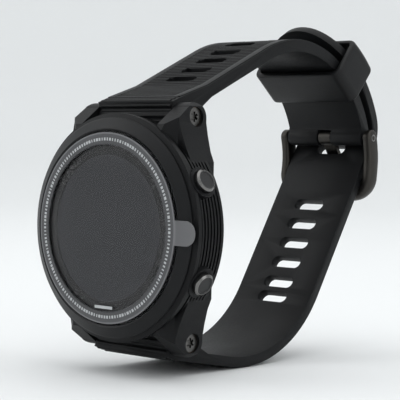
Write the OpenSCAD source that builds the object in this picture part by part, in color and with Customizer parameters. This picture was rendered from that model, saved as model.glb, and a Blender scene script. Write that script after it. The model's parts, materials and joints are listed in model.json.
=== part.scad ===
// GPS running watch, worn buckled: round case, two-piece rubber strap.
// Frame: the display faces -Y, 12 o'clock is +Z, 3 o'clock is +X.
// The origin is the centre of the flat back face, which rests on the wrist.

/* [Case] */
// Thickness from the back face to the front of the lens
case_t = 13.9; // [13:0.1:17]
// Radius of the thin rim round the front of the case
rim_r = 23.85; // [22.5:0.05:29]
// Radius of the side wall between the lugs
wall_r = 23.2; // [21.8:0.05:28.3]
// Radius of the round space inside the case
cavity_r = 18.8; // [18.6:0.1:19.2]
// Thickness of the back cover
cover_t = 2.2; // [1.8:0.1:2.6]
// Radius of the back cover
cover_r = 19.15; // [18.9:0.05:19.4]
// Number of fine grooves round the side wall
groove_n = 7; // [3:1:9]

/* [Front] */
// Outer radius of the conical bezel ring
bezel_r = 22.9; // [21.6:0.05:28]
// Radius of the glass lens
lens_r = 20.2; // [19:0.05:21.2]
// Thickness of the glass lens
lens_t = 1.4; // [1:0.1:1.8]
// Thickness of the protective film left on the lens
film_t = 0.2; // [0.1:0.05:0.3]
// Width of the film's pull tab
tab_w = 5; // [3:0.5:8]
// Radius of the display module
display_r = 17; // [14:0.1:17.2]

/* [Buttons] */
// Distance from the dial's centre to the face of a button
button_face_r = 25.1; // [24.7:0.05:29]
// Radius of a button's cap
button_r = 2.4; // [1.8:0.05:3]
// Height of the button axes above the back face
button_h = 8; // [7.4:0.1:8.6]
// Angle of the outer buttons above and below 3 and 9 o'clock
button_angle = 25; // [21:0.5:30]
// How far a button travels when pressed
button_travel = 0.6; // [0.4:0.05:0.7]

/* [Lugs and strap ends] */
// Half distance between the two lug pins
pin_z = 23.25; // [22.9:0.05:28]
// Height of the lug pins above the back face
pin_h = 3.4; // [3:0.1:4]
// Width of the strap
strap_w = 22; // [20:0.5:24]
// Thickness of one lug arm at its tip
lug_w = 4; // [3.4:0.1:5]
// Outer radius of the tube that a strap end turns on
tube_r = 1.2; // [1:0.05:1.3]
// Radius of the strap's eye round that tube
eye_r = 2.4; // [2.2:0.05:2.6]

/* [Strap] */
// Thickness of the short half, which carries the buckle
short_t = 2.6; // [2.2:0.1:3]
// Thickness of the long half
long_t = 2.2; // [1.8:0.1:2.6]
// Outer radius of the short half where it goes over the wrist
over_r = 28; // [26:0.5:30]
// Depth of that curve's centre behind the back face
over_y = 36.1; // [34:0.1:38]
// Height of that curve's centre above the case's centre
over_z = 13.7; // [12:0.1:15]
// Outer radius of the long half's curve under the wrist
under_r = 29.5; // [28:0.5:31]
// Depth of the lower curve's centre behind the back face
under_y = 19.1; // [18:0.1:20]
// Height of the lower curve's centre
under_z = -1.3; // [-2:0.1:0]
// Gap between the short half and the long half that lies on it
stack_gap = 2; // [1.6:0.1:2.4]
// Length of a slot across the strap
slot_len = 8.4; // [6:0.1:12]
// Width of a slot along the strap
slot_w = 2.8; // [2.2:0.1:3]
// Distance from slot to slot along the strap
slot_pitch = 5.3; // [4.6:0.1:5.4]

/* [Buckle and keeper] */
// Radius of the buckle's cross bar
bar_r = 2; // [1.6:0.1:2.2]
// Distance from the buckle pin to the cross bar
buckle_len = 13.2; // [12.6:0.1:14]
// Thickness of a buckle arm
arm_t = 2.2; // [1.8:0.1:2.6]
// Radius of the buckle pin
buckle_pin_r = 0.8; // [0.6:0.05:0.9]
// Thickness of the tongue
tongue_t = 1; // [0.8:0.1:1.1]
// Wall of the keeper loop
keeper_wall = 1.4; // [1.1:0.1:1.8]
// Length of the keeper along the strap
keeper_len = 9.4; // [7:0.1:10]

/* [Clearances] */
// Gap round every part that moves
gap = 0.3; // [0.2:0.05:0.4]
// Radial clearance of a shaft in its bore
run_gap = 0.05; // [0.02:0.01:0.08]
// Radial clearance of a part that is glued or screwed in place
seat_gap = 0.05; // [0.02:0.01:0.1]
// Free play of the buckled strap at the buckle and keeper
loop_play = 0.4; // [0.3:0.05:0.5]

/* [Hidden] */
$fn = 96;
eps = 0.01;

// ---- Heights above the back face ------------------------------------------------------------
lens_h = case_t - lens_t;
seal_t = 0.3;
ledge_h = lens_h - seal_t;
ledge_t = 1.0;
rim_h = case_t - 2.5;
rim_t = 1.0;
bezel_h = case_t - 1.5;
display_t = 1.0;
display_h = lens_h - display_t;
guide_t = 0.5;
guide_h = display_h - guide_t;
frame_t = 0.9;
frame_h = guide_h - frame_t;
battery_h = cover_t + 1.3;
battery_t = 4.2;
board_h = battery_h + battery_t + 0.2;
board_t = 0.8;
shield_t = 0.9;

// ---- Radii inside the case ------------------------------------------------------------------
ledge_r = display_r + 0.2;
guide_r = display_r - 0.5;
board_r = cavity_r - 2;
frame_r = cavity_r - 0.3;
post_r = 1.7;
screw_shank_r = 0.7;

// ---- Buttons: distances are along the button's own axis, from the dial's centre ------------------
button_angles = [button_angle, -button_angle, 180 - button_angle, 180, 180 + button_angle];
stem_r = 1.0;
cap_t = 2.5;
cap_in = button_face_r - cap_t;
pocket_in = cap_in - button_travel - 0.15;
boss_r = button_r + 0.9;
boss_face = button_face_r - 1.15;
clip_r = 1.7;
clip_t = 0.25;
clip_out = cavity_r - 0.15;
stem_in = clip_out - clip_t - 0.05;
switch_out = stem_in - button_travel - 0.05;
gland_in = cavity_r + 1.1;
gland_t = 1.0;
gland_r = 1.9;

// ---- Lugs -----------------------------------------------------------------------------------
lug_in = strap_w / 2 + 0.2;
lug_out = lug_in + lug_w;
lug_tip = pin_z + 3;
head_r = 1.85;
head_t = 0.85;
head_x = lug_out - 1.3;

// ---- Strap paths, as [Y, Z] points on the outer face ---------------------------------------------
pin_y = -pin_h;
over_c = [over_y, over_z];
under_c = [under_y, under_z];
short_slope = 25;
root_slope = -10;
back_slope = 58.3;
stack_r = over_r + stack_gap + long_t;
bend_r = 9;
root_h = 4.1;
function along(a) = [cos(a), sin(a)];
function left_of(a) = [-sin(a), cos(a)];
short_tangent = over_c + over_r * along(90 + short_slope);
short_root = short_tangent - (short_tangent[0] - 5) / cos(short_slope) * along(short_slope);
under_start = root_slope - 90;
under_end = back_slope - 90;
long_root_end = under_c + under_r * along(under_start);
long_root = long_root_end - (long_root_end[0] - 6) / cos(root_slope) * along(root_slope);
long_rise = under_c + under_r * along(under_end);
// The straight run ends where a bend of bend_r also touches the circle of the stacked tail.
bend_offset = long_rise + bend_r * left_of(back_slope) - over_c;
bend_b = bend_offset * along(back_slope);
bend_q = bend_offset * bend_offset - pow(stack_r - bend_r, 2);
rise_len = -bend_b + sqrt(bend_b * bend_b - bend_q);
bend_start = long_rise + rise_len * along(back_slope);
bend_c = bend_start + bend_r * left_of(back_slope);
bend_end = atan2(bend_c[1] - over_z, bend_c[0] - over_y);

// ---- Keeper and tail ------------------------------------------------------------------------
keeper_mid = 49.6;
keeper_edge = 1.6;
keeper_in = sqrt(pow(over_r - short_t, 2) - pow(keeper_len / 2, 2)) - loop_play;
keeper_out = stack_r + 0.9 + loop_play;
tail_leave = 52;
tail_flare_r = 25;
tail_len = 9.5;

// ---- Buckle ---------------------------------------------------------------------------------
buckle_at = 14.2;
buckle_eye_r = 2;
buckle_c = over_c + (over_r - buckle_eye_r) * along(buckle_at);
bar_side = loop_play + bar_r;
bar_rise = (long_rise + bar_side * [sin(back_slope), -cos(back_slope)]) - buckle_c;
bar_b = bar_rise * along(back_slope);
bar_run = -bar_b - sqrt(bar_b * bar_b - (bar_rise * bar_rise - buckle_len * buckle_len));
bar_c = buckle_c + bar_rise + bar_run * along(back_slope);
arm_w = 3.8;
window_w = strap_w + 2 * loop_play;
buckle_w = window_w + 2 * arm_t;
tongue_w = 3.4;
tongue_ring_r = 1.7;
// The tongue's slot is just below the bend; the tongue crosses the strap at its middle.
tongue_slot_p = bend_start - (slot_w / 2 + 0.15) * along(back_slope);
tongue_aim = tongue_slot_p + long_t / 2 * left_of(back_slope);
tongue_dir = atan2(tongue_aim[1] - buckle_c[1], tongue_aim[0] - buckle_c[0]);
tongue_reach = norm(tongue_aim - buckle_c) + long_t / 2 + 0.8;
tongue_tip = buckle_c + tongue_reach * along(tongue_dir);
tongue_gap = 0.15;
tongue_end = bar_c + (bar_r + tongue_t / 2 + tongue_gap) * along(-8);

// ---- Helpers --------------------------------------------------------------------------------
// Turns a part drawn lying on its back face so that its front faces -Y.
module dial() {
    rotate([90, 0, 0]) children();
}

// Extrudes each side view, drawn as [Y, Z], across the watch.
module across(w, x = 0) {
    for (i = [0:$children - 1])
        translate([x, 0, 0]) rotate([90, 0, 90]) linear_extrude(w, center = true) children(i);
}

// Points on an arc, about one every 6 degrees.
function arc(c, r, a0, a1) = let (n = ceil(abs(a1 - a0) / 6))
    [for (i = [0:n]) c + r * along(a0 + (a1 - a0) * i / n)];
function reverse(v) = [for (i = [len(v) - 1:-1:0]) v[i]];

module stadium(p, q, r, w, x = 0) {
    d = q - p;
    n = r * left_of(atan2(d[1], d[0]));
    across(w, x) {
        polygon([p + n, q + n, q - n, p - n]);
        translate(p) circle(r);
        translate(q) circle(r);
    }
}

// Through slot with round ends, across the strap at point p, whose surface runs at angle a.
module slot(p, a, len, w) {
    half = (len - w) / 2;
    deep = 9;
    translate([0, p[0], p[1]]) rotate([a, 0, 0]) {
        cube([2 * half, w, deep], center = true);
        for (s = [-1, 1]) translate([s * half, 0, 0]) cylinder(r = w / 2, h = deep, center = true);
    }
}

module disc(r, t, h) {
    translate([0, 0, h]) cylinder(r = r, h = t);
}

module ring(r_out, r_in, t, h) {
    translate([0, 0, h]) difference() {
        cylinder(r = r_out, h = t);
        translate([0, 0, -eps]) cylinder(r = r_in, h = t + 2 * eps);
    }
}

// Places a part on a button's axis, which points outwards along the local Z.
module on_button(a) {
    rotate([0, 0, a]) translate([0, 0, button_h]) rotate([0, 90, 0]) children();
}

module bar_x(r, x0, x1) {
    translate([x0, 0, 0]) rotate([0, 90, 0]) cylinder(r = r, h = x1 - x0);
}

module at_pins() {
    for (s = [-1, 1]) translate([0, s * pin_z, pin_h]) children();
}

// ---- Case -----------------------------------------------------------------------------------
module wall_profile() {
    start = 3.5;
    pitch = (rim_h - rim_t - 0.4 - start) / groove_n;
    depth = 0.3;
    grooves = [for (i = [0:groove_n - 1]) let (h = start + i * pitch)
        each [[wall_r, h], [wall_r, h + pitch / 2], [wall_r - depth, h + pitch / 2],
            [wall_r - depth, h + pitch]]];
    polygon(concat([[cavity_r - 1, 0.8], [wall_r - 2.2, 0.8], [wall_r, 3.2]], grooves,
        [[wall_r, rim_h - rim_t - 0.3], [rim_r, rim_h - rim_t], [rim_r, rim_h], [bezel_r - 0.3, rim_h + 0.5],
            [bezel_r - 0.3, ledge_h], [cavity_r - 1, ledge_h]]));
}

module lug() {
    root_y = 11;
    difference() {
        intersection() {
            linear_extrude(case_t) polygon([[lug_in, root_y], [lug_in, lug_tip], [lug_out - 0.8, lug_tip],
                [lug_out, lug_tip - 0.8], [lug_out + 0.3, 22], [lug_out + 1, 19.5], [lug_out + 2.1, 16.5],
                [lug_out + 3.2, 14], [lug_out + 3.2, root_y]]);
            rotate([90, 0, 90]) linear_extrude(2 * rim_r) polygon(concat([[root_y, 1.2], [root_y, rim_h],
                [18.5, rim_h], [21.6, rim_h - 0.9]], arc([pin_z, pin_h], lug_tip - pin_z, 50, -100),
                [[20, 0.7], [16, 1.2]]));
            translate([0, 2 * lug_tip, 0]) rotate([90, 0, 0]) linear_extrude(2 * lug_tip) polygon([
                [lug_in, 0], [lug_in, rim_h], [lug_in + 0.8, rim_h], [lug_out, rim_h - 2.7],
                [lug_out + 7, rim_h - 4.2], [lug_out + 7, 0]]);
        }
        translate([0, pin_z, pin_h]) bar_x(head_r + 0.2, head_x, rim_r);
        translate([0, pin_z, pin_h]) bar_x(screw_shank_r + seat_gap, 0, rim_r);
    }
}

module case_body() {
    color("#26282a") dial() difference() {
        union() {
            rotate_extrude() wall_profile();
            for (m = [0, 1], k = [0, 1]) mirror([m, 0, 0]) mirror([0, k, 0]) lug();
            for (a = button_angles) on_button(a) disc(boss_r, boss_face - cavity_r - 1, cavity_r + 1);
        }
        disc(cavity_r, ledge_h - ledge_t - cover_t + eps, cover_t);
        disc(ledge_r, case_t, ledge_h - ledge_t);
        disc(cover_r + seat_gap, cover_t + eps, -eps);
        at_pins() bar_x(eye_r + gap, -lug_in, lug_in);
        for (s = [-1, 1]) translate([-lug_in, s > 0 ? pin_z - eye_r - gap : -pin_z - 9, -1])
            cube([2 * lug_in, 9 + eye_r + gap, pin_h + 1]);
        for (a = button_angles) on_button(a) {
            disc(button_r + 0.1, 9, pocket_in);
            disc(stem_r + run_gap, 9, cavity_r - 1);
            disc(gland_r, gland_t, gland_in);
        }
    }
    color("#26282a") dial() for (a = [45:90:315]) rotate([0, 0, a]) difference() {
        intersection() {
            translate([cavity_r - 1.5, 0, cover_t]) cylinder(r = post_r, h = 5);
            disc(cavity_r, 9, 0);
        }
        translate([cavity_r - 1.5, 0, 0]) cylinder(r = screw_shank_r + seat_gap, h = 6.5);
    }
}

module bezel_ring() {
    color("#1c1e20") dial() rotate_extrude() polygon([[lens_r + seat_gap, ledge_h], [bezel_r - 0.4, ledge_h],
        [bezel_r, rim_h + 0.8], [bezel_r, bezel_h], [bezel_r - 0.25, bezel_h + 0.2],
        [lens_r + 0.4, case_t - 0.15], [lens_r + seat_gap, case_t - 0.3]]);
}

// ---- Front stack ----------------------------------------------------------------------------
module lens() {
    color("#2b2d30") dial() rotate_extrude() polygon([[0, lens_h], [lens_r, lens_h], [lens_r, case_t - 0.35],
        [lens_r - 0.35, case_t], [0, case_t]]);
}

module lens_seal() {
    color("#101010") dial() ring(lens_r - 0.2, ledge_r + 0.3, seal_t, ledge_h);
}

module screen_film() {
    color("#6c6e70") dial() translate([0, 0, case_t]) {
        cylinder(r = lens_r - 0.4, h = film_t);
        translate([lens_r - 1.5, -tab_w / 2, 0]) cube([4, tab_w, film_t]);
        translate([lens_r + 2.5, 0, 0]) cylinder(r = tab_w / 2, h = film_t);
    }
}

module display_panel() {
    color("#3f4044") dial() disc(display_r, display_t, display_h);
}

module light_guide() {
    color("#d8dcdc") dial() disc(guide_r, guide_t, guide_h);
}

// ---- Electronics ----------------------------------------------------------------------------
module inner_frame() {
    color("#3a3c3e") dial() difference() {
        disc(frame_r, frame_t, frame_h);
        translate([-5, -guide_r + 1, frame_h - 1]) cube([10, 1.6, 3]);
    }
}

module main_board() {
    color("#1d5a3a") dial() difference() {
        disc(board_r, board_t, board_h);
        for (a = [45:90:315]) rotate([0, 0, a]) translate([cavity_r - 1.5, 0, 0])
            cylinder(r = post_r + 0.2, h = case_t);
    }
}

module shield_can() {
    color("#a9adb0") dial() translate([-6, -2, board_h + board_t]) cube([13, 12, shield_t]);
}

module battery() {
    color("#b8bcc0") dial() translate([-10.2, -11.2, battery_h]) cube([20.4, 22.4, battery_t]);
}

module gps_antenna() {
    color("#c9b48a") dial() translate([-5, 11.6, board_h - 3]) cube([10, 5.4, 3]);
}

module pressure_sensor() {
    color("#c0c4c8") dial() translate([13.4, 0, board_h]) translate([0, 0, -1.6]) cylinder(r = 1.8, h = 1.6);
}

motor_x = -15.1;
motor_r = 1.8;
motor_h = battery_h + motor_r + 0.3;
motor_split = 1;

module motor_axis(y) {
    dial() translate([motor_x, y, motor_h]) rotate([-90, 0, 0]) children();
}

module motor_housing() {
    color("#b0b4b8") motor_axis(-5.5) difference() {
        cylinder(r = motor_r, h = 5.5 + motor_split);
        translate([0, 0, 1]) cylinder(r = 0.35 + run_gap, h = 9);
    }
}

module motor_weight() {
    color("#8b8f94") motor_axis(-4) union() {
        cylinder(r = 0.35, h = 9);
        translate([0, 0, 4 + motor_split + 0.4]) intersection() {
            cylinder(r = motor_r - 0.1, h = 3);
            translate([-motor_r, -0.5, 0]) cube([2 * motor_r, motor_r + 0.5, 3]);
        }
    }
}

module buzzer() {
    color("#c8a860") dial() translate([0, -14.8, board_h - 1.8]) cylinder(r = 3.4, h = 1.8);
}

// ---- Back -----------------------------------------------------------------------------------
window_r = 6.4;
screw_head_r = 1.35;
cover_screw_r = cavity_r - 1.5;
contact_y = -10.2;
contact_pitch = 1.9;
port_w = 9.6;
port_d = 4.6;

module on_cover_screws() {
    for (a = [45:90:315]) rotate([0, 0, a]) translate([cover_screw_r, 0, 0]) children();
}

module contact_places() {
    for (i = [-1.5:1:1.5]) translate([i * contact_pitch, contact_y, 0]) children();
}

module back_cover() {
    color("#2c2e30") dial() difference() {
        rotate_extrude() polygon([[0, 0], [cover_r - 0.8, 0], [cover_r, 0.6], [cover_r, 0.9],
            [cover_r - 0.7, 0.9], [cover_r - 0.7, 1.7], [cover_r, 1.7], [cover_r, cover_t], [0, cover_t]]);
        disc(window_r + seat_gap, 9, -1);
        on_cover_screws() {
            translate([0, 0, -1]) cylinder(r = screw_head_r + 0.1, h = 1.85);
            cylinder(r = screw_shank_r + 0.1, h = 9);
        }
        translate([-port_w / 2, contact_y - port_d / 2, -1]) cube([port_w, port_d, 1.9]);
        contact_places() cylinder(r = 0.5 + seat_gap, h = 9);
    }
}

module back_seal() {
    color("#0e0e0e") dial() translate([0, 0, 1.3]) rotate_extrude() translate([cover_r - 0.35, 0])
        circle(r = 0.34, $fn = 24);
}

module back_screws() {
    color("#9a9da0") dial() on_cover_screws() difference() {
        union() {
            translate([0, 0, 0.1]) cylinder(r = screw_head_r, h = 0.75);
            translate([0, 0, 0.5]) cylinder(r = screw_shank_r, h = 5);
        }
        cylinder(r = 0.5, h = 0.5, $fn = 6);
    }
}

module sensor_window() {
    color("#15171a") dial() disc(window_r, 1.3, 0);
}

module sensor_board() {
    color("#1f6a44") dial() disc(8.2, 0.7, cover_t);
}

module sensor_leds() {
    color("#7ec850") dial() for (a = [0:120:240]) rotate([0, 0, a + 90])
        translate([2.6, 0, cover_t - 0.6]) translate([-0.8, -0.8, 0]) cube([1.6, 1.6, 0.6]);
}

module charge_contacts() {
    color("#d4af5a") dial() contact_places() translate([0, 0, 0.5]) cylinder(r = 0.5, h = cover_t - 0.5);
}

// ---- Buttons --------------------------------------------------------------------------------
module button(i) {
    color("#3b3c3c") dial() on_button(button_angles[i]) union() {
        rotate_extrude() polygon([[0, cap_in], [button_r, cap_in], [button_r, button_face_r - 0.35],
            [button_r - 0.35, button_face_r], [button_r - 0.7, button_face_r],
            [button_r - 0.8, button_face_r - 0.15],
            [0, button_face_r - 0.15]]);
        disc(stem_r, cap_in - stem_in + eps, stem_in);
    }
}

module button_clip(i) {
    color("#b4b6b8") dial() on_button(button_angles[i]) ring(clip_r, stem_r, clip_t, clip_out - clip_t);
}

module button_start() { button(0); }
module button_lap() { button(1); }
module button_light() { button(2); }
module button_up() { button(3); }
module button_down() { button(4); }
module clip_start() { button_clip(0); }
module clip_lap() { button_clip(1); }
module clip_light() { button_clip(2); }
module clip_up() { button_clip(3); }
module clip_down() { button_clip(4); }

module button_seals() {
    seal_r = (gland_r - stem_r - 0.05) / 2;
    color("#0e0e0e") dial() for (a = button_angles) on_button(a) translate([0, 0, gland_in + gland_t / 2])
        rotate_extrude() translate([gland_r - seal_r - 0.01, 0]) circle(r = seal_r, $fn = 24);
}

module button_switches() {
    depth = switch_out - board_r;
    color("#d0d2d4") dial() for (a = button_angles) on_button(a)
        translate([-1.2, -1.7, board_r]) cube([2.4, 3.4, depth]);
}

// ---- Lug fasteners --------------------------------------------------------------------------
module lug_tube(s) {
    color("#8d9093") dial() translate([0, s * pin_z, pin_h]) difference() {
        bar_x(tube_r, -lug_in + 0.05, lug_in - 0.05);
        bar_x(screw_shank_r + seat_gap, -lug_in - 1, lug_in + 1);
    }
}

module upper_lug_tube() { lug_tube(1); }
module lower_lug_tube() { lug_tube(-1); }

module lug_screws() {
    color("#4a4b4c") dial() for (m = [0, 1]) mirror([m, 0, 0]) at_pins() {
        difference() {
            bar_x(head_r, head_x, head_x + head_t);
            for (k = [0:60:120]) rotate([k, 0, 0]) translate([head_x + 0.3, -1.05, -0.27])
                cube([2, 2.1, 0.54]);
        }
        bar_x(screw_shank_r, 6, head_x + eps);
    }
}

// ---- Strap ----------------------------------------------------------------------------------
module eye_cut(y, z, r) {
    translate([0, y, z]) bar_x(r, -strap_w, strap_w);
}

module upper_strap() {
    back_angles = 90 + short_slope;
    n_in = -short_t * left_of(short_slope);
    color("#3e4042") difference() {
        across(strap_w) {
            polygon(concat(arc([pin_y, pin_z], eye_r, -20, -220), [[pin_y - 2.6, pin_z + 3.1],
                [pin_y, pin_z + root_h], short_root], arc(over_c, over_r, back_angles, buckle_at),
                arc(buckle_c, buckle_eye_r, buckle_at - 12, buckle_at - 230),
                arc(over_c, over_r - short_t, buckle_at + 6, back_angles), [short_root + n_in]));
        }
        eye_cut(pin_y, pin_z, tube_r + run_gap);
        eye_cut(buckle_c[0], buckle_c[1], buckle_pin_r + run_gap);
        for (i = [0:3]) slot(short_tangent - (0.3 + i) * slot_pitch * along(short_slope), short_slope,
            slot_len, slot_w);
        for (i = [1:2]) let (a = back_angles - (i - 0.3) * slot_pitch / over_r * 180 / PI)
            slot(over_c + over_r * along(a), a - 90, slot_len, slot_w);
        translate([0, buckle_c[0], buckle_c[1]])
            bar_x(buckle_eye_r + gap, -tongue_w / 2 - gap, tongue_w / 2 + gap);
    }
}

// Straight stretch tangent to the stacked circle, then a flare that lifts the tip off the strap.
tail_start = over_c + stack_r * along(tail_leave);
tail_flare_c = tail_start + tail_flare_r * along(tail_leave);
tail_sweep = tail_len / tail_flare_r * 180 / PI;

// The long half's outer face, or its inner face when inset is its thickness, from its root to its tip.
function long_face(inset, tip_a) = concat(
    arc(under_c, under_r - inset, under_start, under_end),
    arc(bend_c, bend_r - inset, back_slope - 90, bend_end),
    arc(over_c, stack_r - inset, bend_end + 3, tail_leave),
    arc(tail_flare_c, tail_flare_r + inset, 180 + tail_leave - 2, tip_a));

module lower_strap() {
    n_in = long_t * left_of(root_slope);
    tip_a = 180 + tail_leave - tail_sweep;
    tip_p = tail_flare_c + (tail_flare_r + long_t / 2) * along(tip_a);
    color("#1b1d1f") difference() {
        intersection() {
            across(strap_w) {
                polygon(concat(arc([pin_y, -pin_z], eye_r, 20, 220), [[pin_y - 2.6, -pin_z - 3.1],
                    [pin_y, -pin_z - root_h], long_root], long_face(0, tip_a),
                    reverse(long_face(long_t, tip_a)),
                    [long_root + n_in]));
            }
            // Plan view of the strap: parallel sides and a round tip.
            union() {
                translate([-strap_w, -50, -99]) cube([2 * strap_w, 200, 99 + tail_start[1]]);
                translate([0, tip_p[0], tip_p[1]]) rotate([tip_a + 90, 0, 0]) {
                    translate([0, strap_w / 2, -20]) cylinder(r = strap_w / 2, h = 40);
                    translate([-strap_w, strap_w / 2, -20]) cube([2 * strap_w, 60, 40]);
                }
            }
        }
        eye_cut(pin_y, -pin_z, tube_r + run_gap);
        // The tongue's slot, the slots below the buckle and those between the buckle and the keeper.
        slot(tongue_slot_p, back_slope, slot_len, slot_w);
        for (i = [3:7])
            slot(tongue_slot_p - i * slot_pitch * along(back_slope), back_slope, slot_len, slot_w);
        slot(under_c + under_r * along(under_end - 5), back_slope - 5, slot_len, slot_w);
        for (a = [24.5, 34]) slot(over_c + stack_r * along(a), a - 90, slot_len, slot_w);
    }
}

// ---- Keeper ---------------------------------------------------------------------------------
module keeper() {
    inner_w = strap_w + 2 * loop_play;
    half_w = inner_w / 2 + keeper_wall;
    low = keeper_in - keeper_wall;
    high = keeper_out + keeper_wall;
    // Local frame: x across the strap, y away from the middle of the wrist, z along the strap.
    color("#2c2d2f") translate([0, over_c[0], over_c[1]]) rotate([keeper_mid, 0, 0]) difference() {
        translate([0, 0, -keeper_len / 2]) linear_extrude(keeper_len) polygon([[-half_w, low + keeper_edge],
            [-half_w + keeper_edge, low], [half_w - keeper_edge, low], [half_w, low + keeper_edge],
            [half_w, high - keeper_edge], [half_w - keeper_edge, high], [-half_w + keeper_edge, high],
            [-half_w, high - keeper_edge]]);
        translate([-inner_w / 2, keeper_in, -keeper_len])
            cube([inner_w, keeper_out - keeper_in, 2 * keeper_len]);
    }
}

// ---- Buckle ---------------------------------------------------------------------------------
module buckle_frame() {
    corner = 5;
    low = bar_c[1] - bar_r + 0.1;
    color("#323232") difference() {
        intersection() {
            union() {
                for (s = [-1, 1]) stadium(buckle_c, bar_c, arm_w / 2, arm_t, s * (window_w + arm_t) / 2);
                translate([0, bar_c[0], bar_c[1]]) bar_x(bar_r, -buckle_w / 2, buckle_w / 2);
            }
            // Plan view of the frame: the far corners are round.
            union() {
                translate([-buckle_w / 2 + corner, 0, low]) cube([buckle_w - 2 * corner, 150, 40]);
                translate([-buckle_w, 0, low + corner]) cube([2 * buckle_w, 150, 40]);
                for (s = [-1, 1]) translate([s * (buckle_w / 2 - corner), 0, low + corner])
                    rotate([-90, 0, 0]) cylinder(r = corner, h = 150);
            }
        }
        eye_cut(buckle_c[0], buckle_c[1], buckle_pin_r + run_gap);
    }
}

module buckle_pin() {
    color("#8a8c8e") translate([0, buckle_c[0], buckle_c[1]])
        bar_x(buckle_pin_r, -buckle_w / 2 + 0.3, buckle_w / 2 - 0.3);
}

module buckle_tongue() {
    color("#3a3a3a") difference() {
        union() {
            across(tongue_w) translate(buckle_c) circle(tongue_ring_r);
            stadium(buckle_c, tongue_tip, tongue_t / 2, tongue_w);
            stadium(tongue_tip, tongue_end, tongue_t / 2, tongue_w);
        }
        eye_cut(buckle_c[0], buckle_c[1], buckle_pin_r + run_gap);
    }
}

case_body();
bezel_ring();
lens();
lens_seal();
screen_film();
display_panel();
light_guide();
inner_frame();
main_board();
shield_can();
battery();
gps_antenna();
pressure_sensor();
motor_housing();
motor_weight();
buzzer();
back_cover();
back_seal();
back_screws();
sensor_window();
sensor_board();
sensor_leds();
charge_contacts();
button_start();
button_lap();
button_light();
button_up();
button_down();
clip_start();
clip_lap();
clip_light();
clip_up();
clip_down();
button_seals();
button_switches();
upper_lug_tube();
lower_lug_tube();
lug_screws();
upper_strap();
lower_strap();
keeper();
buckle_frame();
buckle_pin();
buckle_tongue();
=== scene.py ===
import json
from math import atan2, ceil, cos, degrees, pi, radians, sin, sqrt

import bmesh
import bpy
from mathutils import Matrix, Vector


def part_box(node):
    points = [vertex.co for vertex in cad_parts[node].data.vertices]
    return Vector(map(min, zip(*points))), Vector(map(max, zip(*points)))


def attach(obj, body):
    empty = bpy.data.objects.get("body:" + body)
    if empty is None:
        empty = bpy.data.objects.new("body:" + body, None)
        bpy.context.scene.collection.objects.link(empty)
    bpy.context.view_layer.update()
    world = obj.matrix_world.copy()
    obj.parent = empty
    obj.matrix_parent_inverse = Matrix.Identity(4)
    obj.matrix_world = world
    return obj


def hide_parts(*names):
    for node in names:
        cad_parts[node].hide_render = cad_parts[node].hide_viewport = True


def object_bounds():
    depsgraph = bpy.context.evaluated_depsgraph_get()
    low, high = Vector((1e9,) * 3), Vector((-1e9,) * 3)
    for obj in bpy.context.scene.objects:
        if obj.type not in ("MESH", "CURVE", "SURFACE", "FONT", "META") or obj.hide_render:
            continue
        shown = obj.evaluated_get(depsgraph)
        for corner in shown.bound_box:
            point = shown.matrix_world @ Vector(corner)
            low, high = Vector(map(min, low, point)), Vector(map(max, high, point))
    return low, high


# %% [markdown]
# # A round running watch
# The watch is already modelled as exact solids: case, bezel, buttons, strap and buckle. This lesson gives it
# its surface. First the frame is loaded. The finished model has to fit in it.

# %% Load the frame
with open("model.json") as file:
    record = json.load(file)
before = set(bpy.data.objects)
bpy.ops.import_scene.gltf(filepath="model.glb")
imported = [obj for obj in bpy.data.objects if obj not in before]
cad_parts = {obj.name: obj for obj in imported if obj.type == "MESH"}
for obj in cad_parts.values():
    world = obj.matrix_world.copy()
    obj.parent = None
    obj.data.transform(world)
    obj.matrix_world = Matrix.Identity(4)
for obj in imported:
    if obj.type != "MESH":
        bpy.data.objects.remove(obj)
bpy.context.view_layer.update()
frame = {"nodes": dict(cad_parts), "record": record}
nodes = frame["nodes"]
scene = bpy.context.scene

# %% [markdown]
# ## Sizes
# Blender works in metres and a watch is drawn in millimetres, so every size below is written in millimetres
# and multiplied by MM. The strap's two halves are arcs and straight lines in the plane x = 0, in the (y, z)
# coordinates that the rest of the lesson uses: y goes into the wrist and z towards 12 o'clock.

# %% Named sizes
MM = 0.001
PIN = Vector((-3.4, 23.25))
EYE_R = 2.4
STRAP_W = 22.0
SHORT_T, LONG_T = 2.6, 2.2
OVER_C, OVER_R = Vector((36.1, 13.7)), 28.0
UNDER_C, UNDER_R = Vector((19.1, -1.3)), 29.5
STACK_R = OVER_R + 2.0 + LONG_T
SHORT_SLOPE, ROOT_SLOPE, BACK_SLOPE = 25.0, -10.0, 58.3
BEND_R = 9.0
BUCKLE_AT, BUCKLE_EYE_R = 14.2, 2.0
TAIL_LEAVE, TAIL_FLARE_R, TAIL_LEN = 52.0, 25.0, 9.5
SLOT_LEN, SLOT_W, SLOT_PITCH, SLOT_DEPTH = 8.4, 2.8, 5.3, 9.0
TONGUE_SLOT_PLAY = 0.15
PIN_BORE, BUCKLE_BORE = 1.25, 0.85


def along(a):
    """Unit vector at a degrees in the (y, z) plane."""
    return Vector((cos(radians(a)), sin(radians(a))))


def left_of(a):
    return along(a + 90)


def arc(c, r, a0, a1, step=3.0):
    """Points on an arc, about one every step degrees."""
    n = max(2, ceil(abs(a1 - a0) / step))
    return [c + r * along(a0 + (a1 - a0) * i / n) for i in range(n + 1)]


def line(p, q, n=6):
    return [p.lerp(q, i / n) for i in range(n + 1)]


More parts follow.
